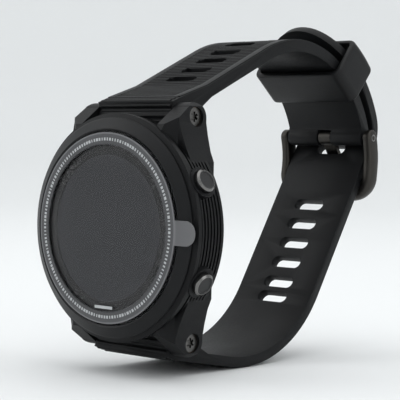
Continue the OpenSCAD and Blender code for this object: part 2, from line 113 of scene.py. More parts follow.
SHORT_TANGENT = OVER_C + OVER_R * along(90 + SHORT_SLOPE)
SHORT_ROOT = SHORT_TANGENT - (SHORT_TANGENT.x - 5) / cos(radians(SHORT_SLOPE)) * along(SHORT_SLOPE)
UNDER_START, UNDER_END = ROOT_SLOPE - 90, BACK_SLOPE - 90
LONG_ROOT_END = UNDER_C + UNDER_R * along(UNDER_START)
LONG_ROOT = LONG_ROOT_END - (LONG_ROOT_END.x - 6) / cos(radians(ROOT_SLOPE)) * along(ROOT_SLOPE)
LONG_RISE = UNDER_C + UNDER_R * along(UNDER_END)
offset = LONG_RISE + BEND_R * left_of(BACK_SLOPE) - OVER_C
reach = offset.dot(along(BACK_SLOPE))
RISE_LEN = -reach + sqrt(reach * reach - offset.length_squared + (STACK_R - BEND_R) ** 2)
BEND_START = LONG_RISE + RISE_LEN * along(BACK_SLOPE)
BEND_C = BEND_START + BEND_R * left_of(BACK_SLOPE)
BEND_END = degrees(atan2(BEND_C.y - OVER_C.y, BEND_C.x - OVER_C.x))
BUCKLE_C = OVER_C + (OVER_R - BUCKLE_EYE_R) * along(BUCKLE_AT)
TAIL_START = OVER_C + STACK_R * along(TAIL_LEAVE)
FLARE_C = TAIL_START + TAIL_FLARE_R * along(TAIL_LEAVE)
TIP_A = 180 + TAIL_LEAVE - degrees(TAIL_LEN / TAIL_FLARE_R)
print("straight run of the long half: %.1f mm" % RISE_LEN)

# %% [markdown]
# ## Small mesh helpers
# A piece made here starts as a list of corners and faces. A prism is an outline in the (y, z) plane carried
# across the strap. Modifiers do the cutting and rounding, and then the result is frozen into a plain mesh.


# %% Mesh helpers
def new_object(name, verts, faces, edges=()):
    mesh = bpy.data.meshes.new(name)
    mesh.from_pydata([tuple(v) for v in verts], list(edges), faces)
    mesh.update()
    obj = bpy.data.objects.new(name, mesh)
    scene.collection.objects.link(obj)
    return obj


def prism_faces(n):
    """The two ends and the sides between two rings of n corners."""
    ends = [tuple(range(n - 1, -1, -1)), tuple(range(n, 2 * n))]
    return ends + [(i, (i + 1) % n, (i + 1) % n + n, i + n) for i in range(n)]


def prism(name, outline, x0, x1):
    """Closed outline of (y, z) points in millimetres, carried from x0 to x1."""
    verts = [(x * MM, p.x * MM, p.y * MM) for x in (x0, x1) for p in outline]
    area = sum(p.x * q.y - q.x * p.y for p, q in zip(outline, outline[1:] + outline[:1]))
    faces = prism_faces(len(outline))
    if area < 0:
        faces = [tuple(reversed(f)) for f in faces]
    return new_object(name, verts, faces)


def freeze(obj):
    """Turns the object with its modifiers into a plain mesh."""
    graph = bpy.context.evaluated_depsgraph_get()
    mesh = bpy.data.meshes.new_from_object(obj.evaluated_get(graph), depsgraph=graph)
    obj.modifiers.clear()
    obj.data = mesh
    return obj


def cut(obj, tool):
    step = obj.modifiers.new("cut", "BOOLEAN")
    step.object, step.operation, step.solver = tool, "DIFFERENCE", "EXACT"
    freeze(obj)


def discard(*objs):
    for obj in objs:
        bpy.data.objects.remove(obj)


def round_edges(obj, width, segments=2, angle=35):
    step = obj.modifiers.new("rounded edges", "BEVEL")
    step.width, step.segments = width * MM, segments
    step.limit_method, step.angle_limit = "ANGLE", radians(angle)
    return obj


def smooth(obj, angle=32):
    obj.data.shade_smooth()
    obj.data.set_sharp_from_angle(angle=radians(angle))
    return obj


def outward(obj):
    """Turns every face's normal to the outside."""
    work = bmesh.new()
    work.from_mesh(obj.data)
    bmesh.ops.recalc_face_normals(work, faces=work.faces)
    work.to_mesh(obj.data)
    work.free()


def paint(obj, material):
    obj.data.materials.clear()
    obj.data.materials.append(material)


def finish_piece(obj, body, slot, material, *stands_for):
    """Gives the piece its material, unless its tree has set one, and hands it to its body."""
    if material:
        paint(obj, material)
    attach(obj, body)
    if stands_for:
        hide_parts(*stands_for)
    print(obj.name, "rides on", body, "with", len(obj.data.polygons), "faces")
    return obj


# %% [markdown]
# ## One shared grain
# Moulded resin, rubber and blasted metal all have a fine grain: a slightly uneven tone, an uneven gloss and a
# bump too small to see as a shape. One node group gives all three from noise in the object's own coordinates,
# so the grain stays in place when a part moves. Each finish only sets its size and depth.


# %% The grain group
CLOUD_CELLS, BUMP_HEIGHT = 130, 0.1 * MM


def link(tree, a, b):
    tree.links.new(a, b)


def build_grain():
    tree = bpy.data.node_groups.new("fine grain", "ShaderNodeTree")
    put = tree.interface.new_socket
    put("Light Tone", in_out="INPUT", socket_type="NodeSocketColor")
    put("Dark Tone", in_out="INPUT", socket_type="NodeSocketColor")
    for name, value in (("Cells", 1500.0), ("Depth", 0.1), ("Rough Low", 0.4), ("Rough High", 0.6)):
        put(name, in_out="INPUT", socket_type="NodeSocketFloat").default_value = value
    put("Tone", in_out="OUTPUT", socket_type="NodeSocketColor")
    put("Roughness", in_out="OUTPUT", socket_type="NodeSocketFloat")
    put("Normal", in_out="OUTPUT", socket_type="NodeSocketVector")
    given, out = tree.nodes.new("NodeGroupInput"), tree.nodes.new("NodeGroupOutput")
    place = tree.nodes.new("ShaderNodeTexCoord")
    cells = tree.nodes.new("ShaderNodeTexNoise")
    cells.inputs["Detail"].default_value = 4
    clouds = tree.nodes.new("ShaderNodeTexNoise")
    clouds.inputs["Scale"].default_value = CLOUD_CELLS
    clouds.inputs["Detail"].default_value = 6
    both = tree.nodes.new("ShaderNodeMath")
    both.operation = "MULTIPLY_ADD"
    both.inputs[1].default_value = 0.5
    half = tree.nodes.new("ShaderNodeMath")
    half.operation = "MULTIPLY"
    half.inputs[1].default_value = 0.5
    tone = tree.nodes.new("ShaderNodeMix")
    tone.data_type = "RGBA"
    rough = tree.nodes.new("ShaderNodeMapRange")
    rough.inputs["From Min"].default_value, rough.inputs["From Max"].default_value = 0.3, 0.7
    bump = tree.nodes.new("ShaderNodeBump")
    bump.inputs["Distance"].default_value = BUMP_HEIGHT
    link(tree, place.outputs["Object"], cells.inputs["Vector"])
    link(tree, place.outputs["Object"], clouds.inputs["Vector"])
    link(tree, given.outputs["Cells"], cells.inputs["Scale"])
    link(tree, clouds.outputs["Fac"], half.inputs[0])
    link(tree, cells.outputs["Fac"], both.inputs[0])
    link(tree, half.outputs[0], both.inputs[2])
    link(tree, both.outputs[0], tone.inputs["Factor"])
    link(tree, given.outputs["Dark Tone"], tone.inputs["A"])
    link(tree, given.outputs["Light Tone"], tone.inputs["B"])
    link(tree, both.outputs[0], rough.inputs["Value"])
    link(tree, given.outputs["Rough Low"], rough.inputs["To Min"])
    link(tree, given.outputs["Rough High"], rough.inputs["To Max"])
    link(tree, cells.outputs["Fac"], bump.inputs["Height"])
    link(tree, given.outputs["Depth"], bump.inputs["Strength"])
    link(tree, tone.outputs["Result"], out.inputs["Tone"])
    link(tree, rough.outputs["Result"], out.inputs["Roughness"])
    link(tree, bump.outputs["Normal"], out.inputs["Normal"])
    return tree


GRAIN = build_grain()
print("shared group:", GRAIN.name)

# %% [markdown]
# ## Finishes
# A finish is a Principled shader fed by the grain. The tone is given as a pair, light and dark, close to each
# other: real dark plastic is never one flat value.


# %% Finish helper
def grained(name, tone, spread=0.16, cells=1500, depth=0.1, rough=(0.4, 0.6), metallic=0.0, specular=0.5):
    mat = bpy.data.materials.new(name)
    mat.use_nodes = True
    tree = mat.node_tree
    shader = tree.nodes["Principled BSDF"]
    shader.inputs["Metallic"].default_value = metallic
    shader.inputs["Specular IOR Level"].default_value = specular
    grain = tree.nodes.new("ShaderNodeGroup")
    grain.node_tree = GRAIN
    grain.inputs["Light Tone"].default_value = [c * (1 + spread) for c in tone] + [1]
    grain.inputs["Dark Tone"].default_value = [c * (1 - spread) for c in tone] + [1]
    grain.inputs["Cells"].default_value = cells
    grain.inputs["Depth"].default_value = depth
    grain.inputs["Rough Low"].default_value, grain.inputs["Rough High"].default_value = rough
    link(tree, grain.outputs["Tone"], shader.inputs["Base Color"])
    link(tree, grain.outputs["Roughness"], shader.inputs["Roughness"])
    link(tree, grain.outputs["Normal"], shader.inputs["Normal"])
    return mat


# %% The finishes of this watch
FINISH = {
    "case_resin": grained("case resin", (0.0042, 0.0044, 0.005), cells=2600, depth=0.2,
                          rough=(0.4, 0.55), specular=0.17),
    "bezel_resin": grained("bezel resin", (0.0045, 0.0048, 0.0055), cells=3000, depth=0.14,
                           rough=(0.34, 0.46), specular=0.21),
    "cover_resin": grained("cover resin", (0.006, 0.0063, 0.007), cells=2600, depth=0.15,
                           rough=(0.33, 0.45), specular=0.3),
    "inner_plastic": grained("inner frame plastic", (0.05, 0.05, 0.055), rough=(0.4, 0.6)),
    "light_plastic": grained("light guide plastic", (0.78, 0.8, 0.8), spread=0.04, rough=(0.1, 0.2)),
    "board": grained("solder mask", (0.01, 0.1, 0.05), rough=(0.25, 0.4)),
    "tin": grained("tinned sheet", (0.6, 0.61, 0.62), metallic=1, rough=(0.25, 0.4)),
    "cell": grained("foil pouch", (0.55, 0.56, 0.58), metallic=1, rough=(0.3, 0.45)),
    "ceramic": grained("fired ceramic", (0.55, 0.45, 0.3), rough=(0.5, 0.7)),
    "seal_rubber": grained("seal rubber", (0.01, 0.01, 0.01), rough=(0.4, 0.6)),
    "sensor_black": grained("sensor window", (0.008, 0.009, 0.011), depth=0.02, rough=(0.05, 0.12)),
    "led": grained("light chip", (0.2, 0.6, 0.15), rough=(0.1, 0.2)),
    "gold": grained("gold plate", (0.8, 0.6, 0.25), spread=0.06, metallic=1, rough=(0.18, 0.3)),
    "button_metal": grained("coated button steel", (0.05, 0.05, 0.051), cells=3200, depth=0.08, metallic=1,
                            rough=(0.34, 0.46)),
    "screw_metal": grained("coated screw steel", (0.12, 0.117, 0.113), cells=3200, depth=0.08, metallic=1,
                           rough=(0.28, 0.42)),
    "bright_steel": grained("plain steel", (0.5, 0.51, 0.52), spread=0.08, metallic=1, rough=(0.22, 0.34)),
    "strap_rubber": grained("strap rubber", (0.0042, 0.0045, 0.0051), cells=2200, depth=0.22,
                            rough=(0.42, 0.58), specular=0.17),
    "keeper_rubber": grained("keeper rubber", (0.0048, 0.005, 0.0056), cells=2200, depth=0.18,
                             rough=(0.38, 0.52), specular=0.22),
    "buckle_metal": grained("blasted buckle steel", (0.048, 0.045, 0.041), cells=3600, depth=0.15, metallic=1,
                            rough=(0.34, 0.46)),
}
print("finishes:", ", ".join(sorted(FINISH)))

# %% [markdown]
# ## Dress the solids
# Each solid names a material slot in the record. The same slot picks its finish here, and every solid gets
# smooth shading between faces that meet at a small angle.

# %% Dress the solids
slot_of = {row["node"]: row["material_slot"] for row in frame["record"]["subparts"]}
for name, obj in nodes.items():
    finish = FINISH.get(slot_of[name])
    if finish:
        paint(obj, finish)
    smooth(obj, 4 if name in ("screen_film", "lens", "display_panel") else 28)
print("dressed:", len(nodes))

# %% [markdown]
# ## Strap slots
# Both halves have the same stadium-shaped slot again and again along a path, so Geometry Nodes place the
# cutting tools: a host mesh has one corner for each slot and a stored turn, and the tree puts one stadium bar
# on each corner. The bars are then used to cut the strap, and its ribs, and are thrown away.


# %% A stadium bar and the tree that places it
def stadium_bar():
    """Bar standing along local z with the slot's outline, round at both ends."""
    half = (SLOT_LEN - SLOT_W) / 2 * MM
    r, deep, n = SLOT_W / 2 * MM, SLOT_DEPTH / 2 * MM, 10
    ring = [(half + r * sin(pi * i / n), -r * cos(pi * i / n)) for i in range(n + 1)]
    ring += [(-half - r * sin(pi * i / n), r * cos(pi * i / n)) for i in range(n + 1)]
    verts = [(x, y, z) for z in (-deep, deep) for x, y in ring]
    return new_object("stadium bar", verts, prism_faces(len(ring)))


def new_tree(name, inputs):
    """A Geometry Nodes tree with a Geometry input and output and the named inputs."""
    tree = bpy.data.node_groups.new(name, "GeometryNodeTree")
    tree.interface.new_socket("Geometry", in_out="INPUT", socket_type="NodeSocketGeometry")
    for label, kind in inputs:
        tree.interface.new_socket(label, in_out="INPUT", socket_type=kind)
    tree.interface.new_socket("Geometry", in_out="OUTPUT", socket_type="NodeSocketGeometry")
    return tree, tree.nodes.new("NodeGroupInput"), tree.nodes.new("NodeGroupOutput")


def end_tree(tree, instances, given, out):
    """Every tree ends with real geometry and its material."""
    real = tree.nodes.new("GeometryNodeRealizeInstances")
    paint = tree.nodes.new("GeometryNodeSetMaterial")
    link(tree, instances, real.inputs["Geometry"])
    link(tree, real.outputs["Geometry"], paint.inputs["Geometry"])
    link(tree, given.outputs["Material"], paint.inputs["Material"])
    link(tree, paint.outputs["Geometry"], out.inputs["Geometry"])


def grow(host, tree, values):
    """Runs the tree on the host with its inputs set by identifier, and freezes the result."""
    step = host.modifiers.new(tree.name, "NODES")
    step.node_group = tree
    for item in tree.interface.items_tree:
        if item.in_out == "INPUT" and item.name in values:
            step[item.identifier] = values[item.name]
    host.update_tag()
    return freeze(host)


def build_turned_copies():
    """Puts one copy of an object on each corner, turned about x by the corner's stored turn."""
    tree, given, out = new_tree("turned copies", [("Tool", "NodeSocketObject"),
                                                  ("Material", "NodeSocketMaterial")])
    tool = tree.nodes.new("GeometryNodeObjectInfo")
    turn = tree.nodes.new("GeometryNodeInputNamedAttribute")
    turn.data_type = "FLOAT"
    turn.inputs["Name"].default_value = "turn"
    euler = tree.nodes.new("ShaderNodeCombineXYZ")
    put = tree.nodes.new("GeometryNodeInstanceOnPoints")
    link(tree, given.outputs["Tool"], tool.inputs["Object"])
    link(tree, turn.outputs["Attribute"], euler.inputs["X"])
    link(tree, given.outputs["Geometry"], put.inputs["Points"])
    link(tree, tool.outputs["Geometry"], put.inputs["Instance"])
    link(tree, euler.outputs["Vector"], put.inputs["Rotation"])
    end_tree(tree, put.outputs["Instances"], given, out)
    return tree


TURNED = build_turned_copies()


def slot_tools(name, places):
    """places is a list of ((y, z), degrees) on the strap."""
    bar = stadium_bar()
    host = new_object(name, [(0, p.x * MM, p.y * MM) for p, _ in places], [])
    turn = host.data.attributes.new("turn", "FLOAT", "POINT")
    for i, (_, a) in enumerate(places):
        turn.data[i].value = radians(a)
    grow(host, TURNED, {"Tool": bar, "Material": FINISH["strap_rubber"]})
    discard(bar)
    print(name, len(places), "slots")
    return host


BACK_ANGLE = 90 + SHORT_SLOPE
SLOT_SHIFT = 0.3  # of a pitch, from the slot row to where the straight run meets the arc
pitch_a = degrees(SLOT_PITCH / OVER_R)
short_slots = [(SHORT_TANGENT - (SLOT_SHIFT + i) * SLOT_PITCH * along(SHORT_SLOPE), SHORT_SLOPE)
               for i in range(4)]
arc_slots = [BACK_ANGLE - (i - SLOT_SHIFT) * pitch_a for i in (1, 2)]
short_slots += [(OVER_C + OVER_R * along(a), a - 90) for a in arc_slots]
tongue_slot = BEND_START - (SLOT_W / 2 + TONGUE_SLOT_PLAY) * along(BACK_SLOPE)
long_slots = [(tongue_slot - i * SLOT_PITCH * along(BACK_SLOPE), BACK_SLOPE) for i in (0, 3, 4, 5, 6, 7)]
long_slots += [(UNDER_C + UNDER_R * along(UNDER_END - 5), BACK_SLOPE - 5)]
long_slots += [(OVER_C + STACK_R * along(a), a - 90) for a in (24.5, 34)]
short_tools = slot_tools("short half slots", short_slots)
long_tools = slot_tools("long half slots", long_slots)

# %% [markdown]
# ## Short half of the strap
# The real strap is moulded silicone: square-cut sides with a small round on every edge. Its outline from the
# side is carried across, the slots, the lug tube and the buckle pin are cut out, and a bevel rounds what is
# left. Cutting first and rounding last gives every slot its moulded lip too.

# %% The short half
BROW_OUT, BROW_UP, CREST_UP = 2.6, 3.1, 4.1
BROW = Vector((PIN.x - BROW_OUT, PIN.y + BROW_UP))
CREST = Vector((PIN.x, PIN.y + CREST_UP))
TONGUE_NOTCH, NOTCH_PLAY = 4.0, 0.35
STRAP_ROUND, TOOL_EXTRA = 0.32, 2
short_outline = arc(PIN, EYE_R, -20, -220, 10) + [BROW, CREST]
short_outline += line(SHORT_ROOT, SHORT_TANGENT) + arc(OVER_C, OVER_R, BACK_ANGLE, BUCKLE_AT)[1:]
short_outline += arc(BUCKLE_C, BUCKLE_EYE_R, BUCKLE_AT - 12, BUCKLE_AT - 230, 12)
short_outline += arc(OVER_C, OVER_R - SHORT_T, BUCKLE_AT + 6, BACK_ANGLE)
short_side = SHORT_T * left_of(SHORT_SLOPE)
short_outline += line(SHORT_TANGENT - short_side, SHORT_ROOT - short_side)[1:]


half = STRAP_W / 2


def bore(name, centre, r, reach=half + TOOL_EXTRA):
    """Round tool about the line through centre, reaching that far to both sides."""
    return prism(name, arc(centre, r, 0, 348, 12), -reach, reach)


upper_band_skin = prism("upper_band_skin", short_outline, -half, half)
tube_bore = bore("tube bore", PIN, PIN_BORE)
pin_bore = bore("pin bore", BUCKLE_C, BUCKLE_BORE)
notch = bore("tongue notch", BUCKLE_C, BUCKLE_EYE_R + NOTCH_PLAY, TONGUE_NOTCH / 2)
for tool in (tube_bore, pin_bore, notch, short_tools):
    cut(upper_band_skin, tool)
discard(tube_bore, pin_bore, notch)
freeze(round_edges(upper_band_skin, STRAP_ROUND))
smooth(upper_band_skin)
finish_piece(upper_band_skin, "upper_band", "strap_rubber", FINISH["strap_rubber"], "upper_strap")

# %% [markdown]
# ## Long half of the strap
# The long half runs under the wrist, up through the buckle and over the short half, and its tip flares away
# and ends in a half circle. The half circle is a second prism, seen in plan, that keeps what it covers.

# %% The long half
LOWER_PIN = Vector((PIN.x, -PIN.y))
LOWER_BROW, LOWER_CREST = Vector((BROW.x, -BROW.y)), Vector((CREST.x, -CREST.y))


def long_face(inset):
    return (line(LONG_ROOT + inset * left_of(ROOT_SLOPE), LONG_ROOT_END + inset * left_of(ROOT_SLOPE))
            + arc(UNDER_C, UNDER_R - inset, UNDER_START, UNDER_END)[1:]
            + line(LONG_RISE + inset * left_of(BACK_SLOPE), BEND_START + inset * left_of(BACK_SLOPE))[1:]
            + arc(BEND_C, BEND_R - inset, BACK_SLOPE - 90, BEND_END, 5)[1:]
            + arc(OVER_C, STACK_R - inset, BEND_END + 2, TAIL_LEAVE)
            + arc(FLARE_C, TAIL_FLARE_R + inset, 180 + TAIL_LEAVE - 2, TIP_A))


long_outline = arc(LOWER_PIN, EYE_R, 20, 220, 10)
long_outline += [LOWER_BROW, LOWER_CREST]
long_outline += long_face(0) + long_face(LONG_T)[::-1]
lower_band_skin = prism("lower_band_skin", long_outline, -half, half)
tip = FLARE_C + (TAIL_FLARE_R + LONG_T / 2) * along(TIP_A)


def tip_cutter():
    """What lies beyond the half circle at the tip: a block with a round bay in it."""
    run = along(TIP_A - 90)
    side = Vector((-run.y, run.x))
    back = tip - half * run
    rim = [(half * sin(pi * (i / 24 - 0.5)), half * cos(pi * (i / 24 - 0.5))) for i in range(25)]
    plan = rim + [(half + 3, 0), (half + 3, half + 6), (-half - 3, half + 6), (-half - 3, 0)]
    verts = []
    for lift in (-14, 14):
        for x, s in plan:
            p = back + s * run + lift * side
            verts.append((x * MM, p.x * MM, p.y * MM))
    return new_object("tip cutter", verts, prism_faces(len(plan)))


cutter = tip_cutter()
tube_bore = bore("tube bore", LOWER_PIN, PIN_BORE)
for tool in (tube_bore, long_tools, cutter):
    cut(lower_band_skin, tool)
discard(tube_bore, cutter, long_tools)
freeze(round_edges(lower_band_skin, STRAP_ROUND))
smooth(lower_band_skin)
finish_piece(lower_band_skin, "lower_band", "strap_rubber", FINISH["strap_rubber"], "lower_strap")

# %% [markdown]
# ## Cross ribs
# The outside of the short half has fine ribs across it, with a smooth border on each edge, and a few coarser
# ones by the lug. Ribs repeat along a path, so the host is the path itself and a tree puts a half-sunk rod on
# it at an even pitch. The slots are then cut through the ribs as they were through the strap.


# %% The rib tree
def build_ribs():
    tree, given, out = new_tree("cross ribs", [
        ("Pitch", "NodeSocketFloat"), ("Thickness", "NodeSocketFloat"),
        ("Width", "NodeSocketFloat"), ("Material", "NodeSocketMaterial")])
    curve = tree.nodes.new("GeometryNodeMeshToCurve")
    even = tree.nodes.new("GeometryNodeResampleCurve")
    even.mode = "LENGTH"
    rod = tree.nodes.new("GeometryNodeMeshCylinder")
    rod.inputs["Vertices"].default_value = 12
    turn = tree.nodes.new("ShaderNodeCombineXYZ")
    turn.inputs["Y"].default_value = pi / 2
    put = tree.nodes.new("GeometryNodeInstanceOnPoints")
    link(tree, given.outputs["Geometry"], curve.inputs["Mesh"])
    link(tree, curve.outputs["Curve"], even.inputs["Curve"])
    link(tree, given.outputs["Pitch"], even.inputs["Length"])
    link(tree, given.outputs["Thickness"], rod.inputs["Radius"])
    link(tree, given.outputs["Width"], rod.inputs["Depth"])
    link(tree, even.outputs["Curve"], put.inputs["Points"])
    link(tree, rod.outputs["Mesh"], put.inputs["Instance"])
    link(tree, turn.outputs["Vector"], put.inputs["Rotation"])
    end_tree(tree, put.outputs["Instances"], given, out)
    return tree


RIBS = build_ribs()


def ribs_on(name, path, pitch, thickness, width):
    """Ribs of that thickness (the rod's radius) along a path of (y, z) points, all in millimetres."""
    verts = [(0, p.x * MM, p.y * MM) for p in path]
    host = new_object(name, verts, [], [(i, i + 1) for i in range(len(verts) - 1)])
    return grow(host, RIBS, {"Pitch": pitch * MM, "Thickness": thickness * MM, "Width": width * MM,
                             "Material": FINISH["strap_rubber"]})


# %% Ribs of the short half
FINE_PITCH, FINE_R, FINE_SINK = 0.95, 0.38, 0.16
COARSE_PITCH, COARSE_R, COARSE_SINK = 1.15, 0.46, 0.22
BORDER_W = 2.3
COARSE_W, FINE_W = STRAP_W - 1.6, STRAP_W - 2 * BORDER_W + 0.2


def inset_by(path, depth):
    """The path moved to its right by depth."""
    moved = []
    for i, p in enumerate(path):
        run = path[min(i + 1, len(path) - 1)] - path[max(i - 1, 0)]
        moved.append(p + depth * Vector((run.y, -run.x)).normalized())
    return moved


root_path = arc(PIN, EYE_R, 205, 140, 8) + line(BROW, CREST, 3)
coarse_ribs = ribs_on("upper_band_coarse_ribs", inset_by(root_path, COARSE_SINK), COARSE_PITCH, COARSE_R,
                      COARSE_W)
fine_path = inset_by(line(CREST + 0.8 * along(15), SHORT_ROOT, 5) + line(SHORT_ROOT, SHORT_TANGENT, 8)[1:]
                     + arc(OVER_C, OVER_R, BACK_ANGLE, BUCKLE_AT + 8)[1:], FINE_SINK)
fine_ribs = ribs_on("upper_band_fine_ribs", fine_path, FINE_PITCH, FINE_R, FINE_W)
cut(fine_ribs, short_tools)
discard(short_tools)
for ribs in (coarse_ribs, fine_ribs):
    smooth(ribs, 50)
    finish_piece(ribs, "upper_band", "strap_rubber", None)

# %% Ribs of the long half
lower_root_path = line(LOWER_CREST, LOWER_BROW, 3) + arc(LOWER_PIN, EYE_R, 220, 155, 8)
lower_coarse = ribs_on("lower_band_coarse_ribs", inset_by(lower_root_path, COARSE_SINK), COARSE_PITCH,
                       COARSE_R, COARSE_W)
under_path = (arc(UNDER_C, UNDER_R, UNDER_END - 12, UNDER_START) + line(LONG_ROOT_END, LONG_ROOT)[1:]
              + line(LONG_ROOT, LOWER_CREST - 0.8 * along(180), 5)[1:])
lower_fine = ribs_on("lower_band_fine_ribs", inset_by(under_path, FINE_SINK), FINE_PITCH, FINE_R, FINE_W)
for ribs in (lower_coarse, lower_fine):
    smooth(ribs, 50)
    finish_piece(ribs, "lower_band", "strap_rubber", None)

# %% [markdown]
# ## Smooth borders
# The border band on each edge stands as high as the ribs, so the ribs read as a sunken panel. Each band is a
# thin prism that stands a fifth of a millimetre out of the outer face, with its foot sunk in the strap.

# %% The border bands
BORDER_H, BORDER_FOOT, EDGE_IN = 0.22, 0.3, 0.3
band_a = arc(OVER_C, OVER_R - BORDER_FOOT, BACK_ANGLE, BUCKLE_AT + 7)
band_b = arc(OVER_C, OVER_R + BORDER_H, BACK_ANGLE, BUCKLE_AT + 7)
border_path = line(CREST, SHORT_ROOT, 4) + line(SHORT_ROOT, SHORT_TANGENT)[1:]
low = inset_by(border_path, BORDER_FOOT) + band_a[1:]
high = inset_by(border_path, -BORDER_H) + band_b[1:]
for side in (-1, 1):
    edges = sorted((side * (half - EDGE_IN), side * (half - BORDER_W)))
    band = prism("upper_band_border_" + ("left" if side < 0 else "right"), low + high[::-1], *edges)
    freeze(round_edges(band, 0.12))
    smooth(band)
    finish_piece(band, "upper_band", "strap_rubber", FINISH["strap_rubber"])

# %% [markdown]
# ## Rounded solids
# Moulded and cast pieces never have a knife edge. A narrow bevel modifier on the exact solids catches the
# light along their edges and leaves the solids themselves alone.

# %% Narrow bevels on the exact solids
for name, width in (("buckle_tongue", 0.2), ("back_cover", 0.12), ("case_body", 0.3)):
    round_edges(nodes[name], width, segments=3, angle=30)
    print("bevel on", name)

# %% [markdown]
# ## Keeper
# The keeper is a soft moulded band with well-rounded corners, slightly bowed to follow the strap. Its
# cross-section is a rounded rectangle with a smaller one inside it, and both are carried along the strap
# through a few stations; the stations at the ends draw in, which rounds the rims.

# %% The keeper loop
KEEPER_MID, KEEPER_LEN, KEEPER_WALL, LOOP_PLAY = 49.6, 9.4, 1.4, 0.4
KEEPER_IN = sqrt((OVER_R - SHORT_T) ** 2 - (KEEPER_LEN / 2) ** 2) - LOOP_PLAY
KEEPER_OUT = STACK_R + 0.9 + LOOP_PLAY
KEEPER_RIM, KEEPER_INNER_R, KEEPER_OUTER_R = 0.55, 0.9, 2.2


def rounded_ring(w, h, r, n=8):
    """Rounded rectangle of half sizes w and h as (x, lift), going round once."""
    ring = []
    for cx, cy, a0 in ((w - r, h - r, 0), (r - w, h - r, 90), (r - w, r - h, 180), (w - r, r - h, 270)):
        turns = [radians(a0 + 90 * i / n) for i in range(n + 1)]
        ring += [(cx + r * cos(a), cy + r * sin(a)) for a in turns]
    return ring


def keeper_skin():
    mid = (KEEPER_IN + KEEPER_OUT) / 2
    inner_w, inner_h = STRAP_W / 2 + LOOP_PLAY, (KEEPER_OUT - KEEPER_IN) / 2
    rim_turns = [radians(a) for a in (0, 30, 60, 90)]
    stations = [(-KEEPER_LEN / 2 + KEEPER_RIM * (1 - cos(a)), KEEPER_RIM * (1 - sin(a))) for a in rim_turns]
    stations += [(0.4 * KEEPER_LEN * t, 0) for t in (-0.6, -0.2, 0.2, 0.6)]
    stations += [(-t, d) for t, d in stations[3::-1]]
    run, lift_dir = along(KEEPER_MID + 90), along(KEEPER_MID)
    verts, rings = [], []
    for inside in (False, True):
        for t, draw in stations:
            bow = 0.0 if inside else -0.35 * (2 * t / KEEPER_LEN) ** 2 + 0.1
            if inside:
                grow_by, r = draw * 0.4, KEEPER_INNER_R
            else:
                grow_by, r = KEEPER_WALL - draw * 0.6, KEEPER_OUTER_R
            ring = rounded_ring(inner_w + grow_by, inner_h + grow_by, r)
            rings.append(len(verts))
            for x, lift in ring:
                p = OVER_C + (mid + lift + (bow if lift > 0 else 0)) * lift_dir + t * run
                verts.append((x * MM, p.x * MM, p.y * MM))
    n, k = len(ring), len(stations)
    joined = [(i, i + 1) for i in range(k - 1)] + [(k + i + 1, k + i) for i in range(k - 1)]
    faces = []
    for a, b in joined + [(k, 0), (k - 1, 2 * k - 1)]:
        a, b = rings[a], rings[b]
        faces += [(a + i, a + (i + 1) % n, b + (i + 1) % n, b + i) for i in range(n)]
    obj = new_object("keeper_loop_skin", verts, faces)
    outward(obj)
    return smooth(obj, 50)


finish_piece(keeper_skin(), "keeper_loop", "keeper_rubber", FINISH["keeper_rubber"], "keeper")

# %% [markdown]
# ## Buckle
# The buckle is cast: two flat arms that bow gently away from the strap and run through round corners into the
# bar. A section is carried along that U, changing from flat at the arms to round at the bar, and each arm
# closes in a half circle about the pin.

# %% The buckle loop
BAR_R, BUCKLE_LEN, ARM_T, ARM_W = 2.0, 13.2, 2.2, 3.8
bar_rise = LONG_RISE - (LOOP_PLAY + BAR_R) * left_of(BACK_SLOPE) - BUCKLE_C
bar_b = bar_rise.dot(along(BACK_SLOPE))
bar_slide = -bar_b - sqrt(bar_b ** 2 - bar_rise.length_squared + BUCKLE_LEN ** 2)
BAR_C = BUCKLE_C + bar_rise + bar_slide * along(BACK_SLOPE)
ARM_X = (STRAP_W + 2 * LOOP_PLAY + ARM_T) / 2
CORNER, ARM_BOW, ARM_SHARE = 4.0, 0.55, 0.6


def buckle_route():
    """(x, z, share of the way to the bar) of the section's centre, from one arm's end to the other's."""
    top, low = BUCKLE_C.y, BAR_C.y
    half_way = [(ARM_X, top + d, 0.0) for d in (1.9, 1.75, 1.45, 1.0, 0.5, 0.0)]
    half_way += [(ARM_X, top + (low + CORNER - top) * t, t * ARM_SHARE) for t in (0.2, 0.4, 0.6, 0.8, 1.0)]
    for a in range(10, 91, 10):
        share = ARM_SHARE + (1 - ARM_SHARE) * a / 90
        half_way.append((ARM_X - CORNER * (1 - cos(radians(a))), low + CORNER * (1 - sin(radians(a))), share))
    half_way += [(x, low, 1.0) for x in (6.0, 3.0)]
    return half_way + [(0, low, 1.0)] + [(-x, z, s) for x, z, s in half_way[::-1]]


